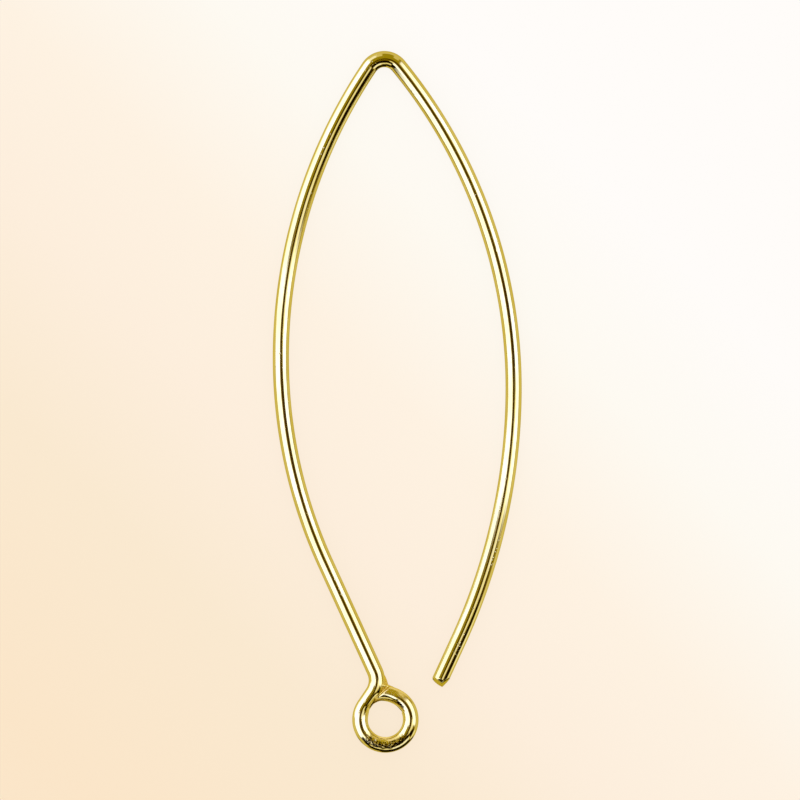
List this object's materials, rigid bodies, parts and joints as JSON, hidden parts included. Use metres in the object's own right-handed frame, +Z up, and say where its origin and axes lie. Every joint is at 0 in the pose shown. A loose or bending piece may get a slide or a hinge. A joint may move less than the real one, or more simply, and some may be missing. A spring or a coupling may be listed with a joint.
{
  "type": "ear wire",
  "caption": "Marquise ear wire bent from round gold-plated wire, with a closed loop for a drop at the foot of the front leg and a bare cut tip at the foot of the back leg",
  "frame": {"origin": "middle of the outline of the wire lying on its side, on the surface it lies on", "axes": "+X from the front leg towards the back leg, +Y from the loop up to the peak, +Z up from the surface, across the flat outline"},
  "size_m": [0.0124, 0.035, 0.0008],
  "materials": {
    "gold_plate": "polished gold plating"
  },
  "bodies": {
    "root": {"ear_wire": "gold_plate"}
  },
  "joints": []
}
